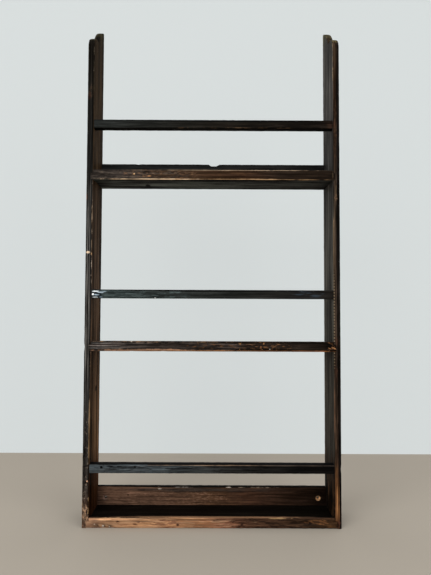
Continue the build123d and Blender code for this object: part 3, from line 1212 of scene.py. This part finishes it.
def makeShelf(name, look, knocks):
    low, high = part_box(name)
    surface = low.z + shelfBoard["thickness"]
    lipEnd = shelfBoard["lipEnd"]
    lipBack = low.y + shelfBoard["lipWidth"]
    board = addBlock(name + "_worn", low, (high.x, high.y, surface))
    cutAcross(0, [-lipEnd, lipEnd])
    cutFrom(1, low.y, shelfBoard["depthCuts"])
    cutFrom(2, low.z, shelfBoard["heightCuts"])

    def underLip(face):
        middle = face.calc_center_median()
        return face.normal.z > squareOn and abs(middle.x) < lipEnd and middle.y < lipBack

    pick(board, "FACE", underLip)
    bpy.ops.mesh.extrude_region_move(TRANSFORM_OT_translate={"value": (0, 0, high.z - surface)})
    cutAcross(2, [high.z - shelfBoard["lipCut"]])
    lines = roundArrises(board, isArris, shelfBoard["arris"])
    divideAlong(board, 0, -lipEnd, lipEnd, shelfBoard["step"])
    weather(board, lines, knocks)
    finishPiece(board, [name], stainedWood(name + "_stain", look))


topShelfLook = {
    **lyingLook,
    "seed": (0.1, 0.5, 0.3),
    "streaks": {
        "Front": ((12, 60, 290), 0.35),
        "Under": ((5, 40, 60), 1.3),
    },
    "stain": {
        "Other": [(0.0, "261e18"), (1.0, "231c16")],
        "Front": [(0.0, "352f2a"), (0.17, "362e29"), (0.25, "3b2e25"), (0.42, "3c2919"), (0.5, "382414"),
                  (0.65, "331f10"), (0.77, "23180e"), (1.0, "20160d")],
        "Under": [(0.0, "414643"), (1.0, "282928")],
        "Top": [(0.0, "1c1713")],
    },
    "spots": [
        strewn((-170, -39, 712), (100, 6, 12), "5e5248", 0.9, (60, 200, 300), 0.6),
        strewn((-170, -39, 712), (110, 6, 12), "181310", 0.92, (90, 200, 330), 0.6),
        strewn((-110, -39, 713), (60, 6, 12), "7c5c42", 1.1, (130, 200, 300), 0.5),
        strewn((-20, -39, 713), (110, 6, 12), "583c22", 0.9, (14, 200, 290), 0.35),
        strewn((130, -39, 712), (140, 6, 14), "120b06", 0.9, (25, 200, 290), 0.4, soft=0.4),
        arrisLine((40, -39, 722.2), (215, 4, 1.5), "ae967c", 0.2, (50, 60, 60), ragged=1.3),
        arrisLine((-120, -39, 702.6), (130, 4, 1.8), "dcc0a0", 0.2, (70, 60, 60), ragged=1.5),
        spot((-183, -39, 702.6), (9, 4, 2), "e8cca8", soft=0.5, ragged=1, noise=(160, 60, 60)),
        spot((-74, -39, 702.6), (7, 4, 2), "d8b088", soft=0.5, ragged=1, noise=(160, 60, 60)),
        arrisLine((80, -39, 702.6), (175, 4, 1.7), "a48460", 0.3, (50, 60, 60), ragged=1.8),
        spot((245.6, -39, 713), (0.8, 5, 9), "62523e", "Front", soft=0.4, ragged=0.6,
             noise=(160, 200, 160)),
        spot((-162, -39, 713.5), (2.2, 3, 2), "d0a878", "Front", soft=0.5),
        spot((-131, -39, 709.5), (5, 3, 1.8), "a87c54", "Front", soft=0.5, noise=(300, 300, 500)),
        spot((0, -32, 702), (260, 12, 4), "060606", "Under", soft=0.6, ragged=1.2, noise=(12, 120, 100)),
        spot((-140, 10, 702), (7, 16, 4), "080908", "Under", soft=0.5),
    ],
    "wear": {
        "amount": 0.12,
        "breaks": 1.2,
        "spread": 0.2,
        "rubbed": "6a5038",
        "bare": [(0.0, "c4a47e"), (0.3, "b8946c"), (0.5, "94704a"), (1.0, "9a8060")],
        "places": [
            rub((-130, -39, 702), (125, 6, 5), 0.25),
            rub((50, -39, 723), (210, 6, 5), 0.2),
        ],
    },
}
middleShelfLook = {
    **lyingLook,
    "seed": (0.4, 0.2, 0.6),
    "streaks": {
        "Front": ((10, 60, 300), 0.6),
        "Under": ((5, 34, 60), 0.9),
    },
    "stain": {
        "Other": [(0.0, "231b15"), (1.0, "201812")],
        "Front": [(0.0, "211f1d"), (0.15, "211e1c"), (0.28, "27201c"), (0.5, "231b16"), (0.65, "231a14"),
                  (0.94, "1d150e"), (1.0, "1a1008")],
        "Under": [(0.0, "2a221c"), (1.0, "1e1814")],
        "Top": [(0.0, "2a211b")],
    },
    "spots": [
        strewn((-205, -39, 367), (60, 6, 1.2), "86807c", 0.6, (26, 200, 60), 0.8, ragged=2, soft=0.5),
        strewn((-215, -39, 362.5), (44, 6, 1.2), "a09690", 0.6, (26, 200, 60), 0.8, ragged=2, soft=0.5),
        strewn((-208, -39, 357.5), (50, 6, 1.1), "7a7470", 0.6, (26, 200, 60), 0.8, ragged=2, soft=0.5),
        strewn((-110, -39, 362), (150, 6, 9), "544a44", 0.95, (14, 200, 300), 0.6),
        strewn((-120, -39, 369.5), (90, 6, 2.6), "0c0a09", 0.75, (60, 200, 120), 0.9, ragged=3, soft=0.4),
        strewn((60, -39, 363), (80, 6, 11), "7c5634", 1.15, (90, 200, 280), 0.6),
        strewn((-60, -39, 357.4), (190, 5, 1.4), "080605", 0.5, (24, 60, 60), 0.8, ragged=2, soft=0.5),
        arrisLine((-130, -39, 353.2), (125, 5, 3.4), "957056", 0.4, (90, 60, 90)),
        arrisLine((20, -39, 352.4), (150, 5, 2), "7c5434", 0.6, (60, 60, 90)),
        arrisLine((180, -39, 352.6), (90, 5, 1.8), "7a4a22", 0.6, (46, 60, 90)),
        arrisLine((-60, -39, 371), (190, 5, 1.4), "7c6044", 0.95, (60, 60, 60), strength=0.8, ragged=2.4,
                  soft=0.4),
        spot((56, -39, 368), (4, 4, 2.2), "8a6238", "Front", soft=0.7, ragged=2.2, noise=(300, 200, 300),
             tilt=40),
        spot((104, -39, 368), (2.2, 4, 3.4), "94683e", "Front", soft=0.7, ragged=2.2,
             noise=(300, 200, 300)),
        spot((98, -39, 360), (2.6, 4, 4), "7c5230", "Front", soft=0.7, ragged=2.4, noise=(300, 200, 300),
             tilt=50),
        spot((116, -39, 356.5), (1.4, 3, 1.3), "e6dcd0", "Front", soft=0.4),
        spot((55, -39, 356.5), (1.4, 3, 1.3), "b48050", "Front", soft=0.4),
        spot((-164, -38, 371), (2, 4, 1.4), "b8ab9a", soft=0.4),
        spot((237, -39, 361), (13, 6, 13), "0c0704", "Front", soft=0.7, ragged=1, noise=(90, 200, 200)),
        strewn((241, -39, 363), (7, 6, 12), "a07048", 0.94, (50, 200, 210), soft=0.4, tilt=-28),
    ],
    "wear": {
        "amount": 0.12,
        "breaks": 1.2,
        "spread": 0.2,
        "rubbed": "6a4a30",
        "bare": [(0.0, "a89480"), (0.4, "a47c54"), (0.6, "845832"), (1.0, "98622f")],
        "places": [
            rub((-140, -39, 351), (130, 6, 5), 0.3),
            rub((60, -39, 372), (60, 6, 4), 0.2),
        ],
    },
    "flecks": [
        {"cells": (170, 500, 500), "share": 0.04, "size": 0.4, "colour": "94683e",
         "place": (60, -39, 362), "reach": (130, 8, 14)},
    ],
}
bottomShelfLook = {
    **lyingLook,
    "seed": (0.9, 0.3, 0.1),
    "coarseness": 0.8,
    "contrast": 0.34,
    "gloss": 0.015,
    "streaks": {"Front": ((16, 60, 300), 0.3)},
    "stain": {
        "Other": [(0.0, "2a1f17"), (1.0, "1c140e")],
        "Front": [(0.0, "9a745a"), (0.06, "c4956e"), (0.3, "bc8960"), (0.45, "9f6f4c"), (0.55, "845740"),
                  (0.65, "573a28"), (0.78, "432c1c"), (0.9, "332213"), (1.0, "3e2814")],
        "Under": [(0.0, "3a2c20")],
        # the near-black top is painted shade, partly dark stain
        "Top": [(0.0, "100a06"), (1.0, "0c0804")],
    },
    "spots": [
        spot((0, -35, 21), (245, 5, 3), "7d5c42", "Top", soft=0.5, ragged=1.0, noise=(40, 200, 200)),
        spot((-110, -39, 20), (120, 5, 2), "c49d76", "Front", soft=0.7, ragged=1.4, noise=(50, 200, 200),
             strength=0.6),
        spot((-232, -39, 9), (12, 6, 14), "6f5747", "Front", soft=0.9, ragged=1.6, noise=(80, 200, 300),
             strength=0.7),
        strewn((-216, -39, 5), (20, 5, 4), "3e2a1e", 0.7, (130, 200, 300), ragged=2.4, soft=0.5),
        spot((-217, -39, 4.5), (3, 3, 2.4), "f4e8d8", "Front", soft=0.4),
        spot((-234, -39, 8), (1.8, 3, 1.8), "dcc8b0", "Front", soft=0.4),
        spot((-204, -39, 3), (1.8, 3, 1.8), "dcc8b0", "Front", soft=0.4),
        spot((-188, -39, 13), (6, 4, 3), "5c3a26", "Front", soft=0.7, ragged=1.4, noise=(200, 200, 300)),
        spot((-146, -39, 13), (5, 4, 3), "6a4630", "Front", soft=0.7, ragged=1.4, noise=(200, 200, 300)),
        spot((-153, -39, 8), (6, 4, 3), "704a33", "Front", soft=0.8, ragged=1.6, noise=(200, 200, 300)),
        strewn((-110, -39, 10), (150, 5, 12), "7a4e38", 0.95, (20, 200, 300), 0.5),
        strewn((-110, -39, 10), (150, 5, 12), "e0b890", 0.98, (18, 200, 320), 0.3),
        strewn((-88, -39, 10), (26, 5, 9), "6e4434", 0.85, (60, 200, 260), 0.7, ragged=3, soft=0.4),
        spot((-68, -39, 7), (4, 4, 3), "40261a", "Front", soft=0.7),
        spot((60, -39, 8), (4, 4, 3), "3a2014", "Front", soft=0.7),
        strewn((60, -39, 10), (60, 5, 10), "3a2418", 0.95, (30, 200, 280), 0.4),
        strewn((155, -39, 10), (110, 5, 14), "1a0f08", 0.9, (40, 200, 280), 0.8),
        spot((205, -38, 20.4), (52, 5, 2), "3a2618", soft=0.6, ragged=1.2, noise=(40, 60, 60)),
        arrisLine((138, -39, 20), (22, 4, 1.2), "a08058", 0.6, (90, 60, 60), ragged=2.2, soft=0.4),
        spot((195, -39, 12), (6, 4, 5), "150c07", "Front", soft=0.5),
        strewn((212, -39, 13), (24, 5, 5), "6c4628", 0.9, (60, 200, 260), ragged=3, soft=0.4, tilt=-10),
        strewn((236, -39, 6), (14, 5, 4), "5a3a1c", 0.7, (90, 200, 200), ragged=2, soft=0.5),
    ],
    "wear": {
        "amount": 0.24,
        "breaks": 0.9,
        "spread": 0.3,
        "rubbed": "8a6346",
        "bare": [(0.0, "c49c76"), (0.4, "ae7f58"), (0.6, "7e583e"), (0.75, "5c3e28"), (1.0, "543a22")],
        "places": [
            rub((-120, -39, 21), (140, 6, 5), 0.25),
            rub((140, -39, 21), (30, 6, 5), 0.2),
            rub((60, -39, 0), (190, 6, 4), -0.3),
        ],
    },
}

makeShelf("top_shelf", topShelfLook, [
    ((-162, -39, 713), (0, 0.5, 0), 4),
    ((-185, -39, 702), (0, 0.8, 0.6), 6),
    ((-74, -39, 702), (0, 0.8, 0.6), 5),
    ((120, -39, 723), (0, 0.4, -0.6), 7),
])
makeShelf("middle_shelf", middleShelfLook, [
    ((-205, -39, 372), (0, 0.6, -0.9), 7),
    ((-165, -39, 351), (0, 0.9, 0.7), 7),
    ((-98, -39, 351), (0, 0.8, 0.6), 8),
    ((56, -39, 369), (0, 0.7, -0.2), 5),
    ((104, -39, 368), (0, 0.7, -0.2), 5),
    ((238, -39, 366), (-0.4, 0.8, 0), 7),
])
makeShelf("bottom_shelf", bottomShelfLook, [
    ((-188, -39, 13), (0, 1.0, 0), 5),
    ((-146, -39, 13), (0, 0.8, 0), 5),
    ((-218, -39, 4), (0, 0.8, 0), 5),
    ((-68, -39, 7), (0, 0.6, 0), 5),
    ((132, -39, 21), (0, 0.7, -0.9), 7),
    ((150, -39, 21), (0, 0.5, -0.7), 6),
    ((-200, -39, 0), (0, 0.6, 0.6), 7),
])

# ---- guard rails

guardRail = {
    "arris": 1.5 * mm,
    "step": 3.5 * mm,
    "depthCuts": (3.5, 8, 12.5),
    "heightCuts": (3.5, 9, 15),
}


def makeGuardRail(name, look, knocks):
    low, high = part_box(name)
    board = addBlock(name + "_worn", low, high)
    cutFrom(1, low.y, guardRail["depthCuts"])
    cutFrom(2, low.z, guardRail["heightCuts"])
    lines = roundArrises(board, isArris, guardRail["arris"])
    divideAlong(board, 0, low.x, high.x, guardRail["step"])
    weather(board, lines, knocks)
    finishPiece(board, [name], stainedWood(name + "_stain", look))


topGuardRailLook = {
    **lyingLook,
    "seed": (0.6, 0.1, 0.4),
    "contrast": 0.22,
    "stain": {
        "Other": [(0.0, "1f1e1a"), (1.0, "1a1714")],
        "Front": [(0.0, "222524"), (0.25, "1e1f1c"), (0.5, "1a1611"), (0.75, "120e09"), (0.93, "100b07"),
                  (1.0, "1c110a")],
        "Top": [(0.0, "0c0c0b")],
        "Under": [(0.0, "070605")],
    },
    "spots": [
        spot((0, -38, 824.8), (260, 4, 2.6), "060606", soft=0.5, ragged=0.8, noise=(30, 60, 100)),
        strewn((100, -38, 814), (150, 5, 4), "221b15", 0.9, (20, 200, 280), ragged=3, soft=0.4),
        strewn((60, -38, 810.4), (150, 5, 1.2), "4a3826", 0.9, (60, 200, 90), ragged=2.6, soft=0.4),
        spot((240, -38, 815), (8, 5, 10), "2c1c12", "Front", soft=0.8, ragged=1.6),
    ],
    "wear": {
        "amount": 0.0,
        "breaks": 1.2,
        "spread": 0.2,
        "rubbed": "3c3024",
        "bare": [(0.0, "8a8172"), (0.3, "6a5a48"), (1.0, "6a5238")],
        "places": [
            rub((-232, -38, 809), (22, 6, 4), 0.05),
            rub((150, -38, 809), (60, 6, 4), 0.2),
        ],
    },
}
middleGuardRailLook = {
    **lyingLook,
    "seed": (0.2, 0.8, 0.5),
    "contrast": 0.25,
    "stain": {
        "Other": [(0.0, "222625"), (1.0, "1b1917")],
        "Front": [(0.0, "2b3434"), (0.12, "2f3939"), (0.25, "282e2d"), (0.5, "222523"), (0.75, "1d1c1a"),
                  (0.88, "1c1b1a"), (1.0, "17130f")],
        "Top": [(0.0, "0e100f")],
        "Under": [(0.0, "141615"), (1.0, "0e0d0c")],
    },
    "spots": [
        # painted sheen: a pale bluish streak at the left
        strewn((-150, -38, 468), (90, 5, 10), "4a5656", 0.95, (40, 200, 280), 0.7),
        spot((0, -38, 474), (260, 4, 2), "0a0b0b", soft=0.5, ragged=1, noise=(30, 60, 100)),
        spot((-235, -38, 467), (13, 4, 10), "0c1418", "Front", soft=0.6, ragged=1, noise=(120, 200, 200)),
        # painted sheen: the bluish-white blobs at the left end
        spot((-238, -38, 472.5), (8, 4, 1.7), "dfe7ec", "Front", soft=0.4, ragged=0.8,
             noise=(160, 200, 200)),
        spot((-229, -38, 470.5), (9, 4, 1.8), "b2c3d0", "Front", soft=0.5, ragged=1.2,
             noise=(160, 200, 200), tilt=-20),
        spot((-243.4, -38, 466.5), (2.6, 4, 2.4), "f0f4f6", "Front", soft=0.4),
        spot((-236, -38, 465.5), (7, 4, 1.6), "a2b4c2", "Front", soft=0.5, ragged=1.2,
             noise=(160, 200, 200), tilt=20),
        spot((-239, -38, 460.5), (7, 4, 2.2), "d4dde2", "Front", soft=0.4, ragged=0.8,
             noise=(160, 200, 200)),
        spot((-227, -38, 461), (5, 4, 1.6), "7d8f9c", "Front", soft=0.6, ragged=1.4, noise=(160, 200, 200)),
        spot((-220, -38, 472), (6, 4, 1.6), "8a9ba6", "Front", soft=0.6, ragged=1.4, noise=(160, 200, 200),
             tilt=20),
        spot((-117, -38, 459), (2.2, 3, 1.8), "e2e6e8", soft=0.4),
        strewn((200, -38, 469), (26, 5, 8), "272f36", 0.85, (40, 200, 260), ragged=3.4, soft=0.4),
    ],
    "wear": {
        "amount": 0.02,
        "breaks": 1.0,
        "spread": 0.2,
        "rubbed": "3c3c38",
        "bare": [(0.0, "8f9a9c"), (0.4, "6c6a64"), (0.8, "5a4436"), (1.0, "6a4a34")],
        "places": [
            rub((-170, -38, 458), (60, 6, 4), 0.25),
            rub((244, -38, 467), (5, 6, 12), 0.2),
        ],
    },
}
bottomGuardRailLook = {
    **lyingLook,
    "seed": (0.5, 0.6, 0.8),
    "contrast": 0.25,
    "stain": {
        "Other": [(0.0, "212324"), (0.5, "1c1a18"), (1.0, "141210")],
        "Front": [(0.0, "42484a"), (0.2, "454b4e"), (0.4, "323637"), (0.55, "282827"), (0.7, "1a1917"),
                  (0.85, "0c0b0a"), (1.0, "090706")],
        "Top": [(0.0, "060505")],
        "Under": [(0.0, "101010")],
    },
    "spots": [
        strewn((-170, -38, 115), (110, 5, 13), "5a666c", 0.95, (18, 200, 280), 0.5),
        strewn((-60, -38, 116), (240, 5, 13), "0a0a0a", 1.0, (26, 200, 280), 0.8),
        arrisLine((0, -38, 123.8), (150, 3, 1), "8e745c", 0.5, (40, 60, 60), strength=0.7, ragged=1.8),
        arrisLine((170, -38, 123.8), (110, 3, 1), "423830", 0.4, (30, 60, 60), ragged=1.6),
        spot((-222, -38, 119.5), (3.6, 4, 3), "070707", "Front", soft=0.5, ragged=1.2,
             noise=(200, 200, 300)),
        spot((-205, -38, 121.5), (9, 4, 1.8), "0a0a0a", "Front", soft=0.5, ragged=1.4,
             noise=(120, 200, 300)),
        spot((-186, -38, 121), (7, 4, 1.4), "0a0a0a", "Front", soft=0.6, ragged=1.4, noise=(120, 200, 300)),
        spot((-154, -38, 120.3), (3.4, 4, 2.8), "060606", "Front", soft=0.5, ragged=1.2,
             noise=(200, 200, 300)),
    ],
    "wear": {
        "amount": 0.0,
        "breaks": 0.8,
        "spread": 0.2,
        "rubbed": "54453a",
        "bare": [(0.0, "6e6a64"), (0.3, "8c7058"), (0.6, "786450"), (1.0, "5a4c40")],
        "places": [
            rub((20, -38, 107), (60, 6, 4), 0.15),
        ],
    },
}

makeGuardRail("top_guard_rail", topGuardRailLook, [
    ((-232, -38, 809), (0, 0.6, 0.6), 7),
    ((160, -38, 809), (0, 0.5, 0.6), 8),
])
makeGuardRail("middle_guard_rail", middleGuardRailLook, [
    ((-117, -38, 458), (0, 0.6, 0.9), 6),
    ((-236, -38, 458), (0, 0.5, 0.8), 6),
])
makeGuardRail("bottom_guard_rail", bottomGuardRailLook, [
    ((-222, -38, 119.5), (0, 1.1, 0), 5),
    ((-205, -38, 121), (0, 0.8, 0), 5),
    ((-154, -38, 120), (0, 1.1, 0), 5),
    ((40, -38, 125.5), (0, 0.4, -0.7), 8),
])

# ---- back rails

backRail = {
    "arris": 1.0 * mm,
    "step": 3.5 * mm,
    "depthCuts": (3, 7),
    "heightCuts": (5, 15, 25, 32),
    "screwX": 229 * mm,
    "screwHeight": 15 * mm,
    "boreRadius": 2.25 * mm,
    "boreLength": 14 * mm,
    "boreMiddle": 8 * mm,     # behind the rail's front
    "mouthRadius": 5 * mm,
    "corners": 28,
    "notchMiddle": 2 * mm,
    "notchMouth": 24 * mm,
    "notchFloor": 11 * mm,
    "notchDepth": 4 * mm,
}


# Lets the notch into the rail's top edge, and gives back where its corners are
def cutNotch(board, high):
    middle = backRail["notchMiddle"]
    floorEnd = backRail["notchFloor"] / 2
    mouthEnd = backRail["notchMouth"] / 2
    corners = [middle - mouthEnd, middle - floorEnd, middle + floorEnd, middle + mouthEnd]
    cutAcross(0, corners)
    pick(board, "VERT", lambda v: v.co.z > high.z - hair and abs(v.co.x - middle) < floorEnd + hair)
    bpy.ops.transform.translate(value=(0, 0, -backRail["notchDepth"]))
    return corners


def boreForScrews(board, low):
    bore, mouth, corners = backRail["boreRadius"], backRail["mouthRadius"], backRail["corners"]
    sink = mouth - bore
    quarter = (math.radians(-90), 0, 0)
    z = low.z + backRail["screwHeight"]
    for x in (-backRail["screwX"], backRail["screwX"]):
        bpy.ops.mesh.primitive_cone_add(
            vertices=corners, radius1=mouth + mm, radius2=bore, depth=sink + mm,
            location=(x, low.y + (sink - mm) / 2, z), rotation=quarter)
        carve(board, bpy.context.object)
        bpy.ops.mesh.primitive_cylinder_add(
            vertices=corners, radius=bore, depth=backRail["boreLength"],
            location=(x, low.y + backRail["boreMiddle"], z), rotation=quarter)
        carve(board, bpy.context.object)


def makeBackRail(name, look, knocks, notched):
    low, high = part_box(name)
    board = addBlock(name + "_worn", low, high)
    cutFrom(1, low.y, backRail["depthCuts"])
    cutFrom(2, low.z, backRail["heightCuts"])
    corners = cutNotch(board, high) if notched else []
    rim = high.z - backRail["notchDepth"] - 10 * hair

    def onTopRim(edge):
        first, second = (v.co for v in edge.verts)
        along = abs(first.x - second.x) > mm and first.z > rim
        return along and len(edge.link_faces) == 2 and edge.calc_face_angle(0) > sharpBend

    lines = roundArrises(board, onTopRim, backRail["arris"])
    stops = [low.x, *corners, high.x]
    for start, end in zip(stops, stops[1:]):
        divideAlong(board, 0, start, end, backRail["step"])
    weather(board, lines, knocks)
    boreForScrews(board, low)
    finishPiece(board, [name], stainedWood(name + "_stain", look))


topBackRailLook = {
    **lyingLook,
    "seed": (0.8, 0.7, 0.2),
    "contrast": 0.2,
    "streaks": {"Front": ((14, 60, 260), 0.3)},
    "stain": {
        "Other": [(0.0, "1e1f1f"), (1.0, "1a1918")],
        "Front": [(0.0, "222424"), (0.5, "1f1f1e"), (1.0, "191817")],
        "Back": [(0.0, "3a2f25"), (1.0, "332a22")],
    },
    "spots": [
        spot((2, 35, 752), (14, 8, 5), "2c2620", soft=0.6),
        spot((-229, 30, 732), (5.8, 3, 5.8), "4a3626", soft=0.3, ragged=0.3),
        spot((229, 30, 732), (5.8, 3, 5.8), "4a3626", soft=0.3, ragged=0.3),
    ],
    "wear": {
        "amount": 0.1,
        "breaks": 1.0,
        "spread": 0.25,
        "rubbed": "3a332c",
        "bare": [(0.0, "6a5a4a"), (1.0, "5a4a3a")],
        "places": [rub((-164, 30, 756), (6, 6, 4), 0.5)],
    },
}
bottomBackRailLook = {
    **lyingLook,
    "seed": (0.35, 0.45, 0.7),
    "contrast": 0.28,
    "streaks": {"Front": ((20, 60, 300), 0.3)},
    "stain": {
        "Other": [(0.0, "3a2c22"), (1.0, "2c2119")],
        "Front": [(0.0, "3e2a1e"), (0.05, "7c5c48"), (0.3, "70523f"), (0.5, "5e412c"), (0.65, "4a2f1e"),
                  (0.8, "332013"), (1.0, "180e07")],
        "Top": [(0.0, "080605")],
        "Back": [(0.0, "4a3a2c"), (1.0, "42342a")],
    },
    "spots": [
        spot((-30, 29, 47), (200, 5, 7), "34302c", "Front", soft=0.8, ragged=1.6, noise=(20, 200, 200),
             strength=0.8),
        strewn((0, 29, 35), (300, 5, 30), "20140d", 1.0, (50, 200, 300), 0.35),
        strewn((-100, 29, 30), (110, 5, 12), "946f58", 1.05, (110, 200, 300), 0.4),
        spot((0, 29, 54), (260, 6, 3), "080605", soft=0.4, ragged=0.4, noise=(30, 60, 60)),
        spot((-180, 29, 36), (3, 4, 2), "2c1a12", "Front", soft=0.6),
        spot((-229, 30, 30), (7.5, 4, 7.5), "7a6052", soft=0.35, ragged=0.4),
        spot((229, 30, 30), (6.4, 4, 6.4), "e0ae7e", soft=0.3, ragged=0.4),
        # painted shade inside the screw bores
        spot((-229, 34, 30), (2.7, 10, 2.7), "140c08", soft=0.3, ragged=0.1),
        spot((229, 34, 30), (2.7, 10, 2.7), "140c08", soft=0.3, ragged=0.1),
        spot((-112, 29, 49), (5, 4, 1.6), "b8a898", "Front", soft=0.5, tilt=-30, noise=(200, 200, 300)),
        arrisLine((-60, 29, 52.4), (30, 4, 1), "7a7068", 0.8, (70, 60, 60), ragged=2.2, soft=0.4),
        spot((36, 29, 52.4), (7, 4, 1.1), "b0a294", soft=0.4, ragged=1, noise=(160, 60, 60)),
        arrisLine((100, 29, 52.4), (50, 4, 1), "7a6858", 0.85, (70, 60, 60), ragged=2.2, soft=0.4),
    ],
    "wear": {
        "amount": 0.04,
        "breaks": 0.9,
        "spread": 0.2,
        "rubbed": "4a3c32",
        "bare": [(0.0, "a89484"), (1.0, "b09c88")],
        "places": [],
    },
}

makeBackRail("top_back_rail", topBackRailLook, [((-164, 29, 756), (0, 0.3, -0.9), 6)], True)
makeBackRail("bottom_back_rail", bottomBackRailLook, [((36, 29, 54), (0, 0.5, -0.6), 8)], False)
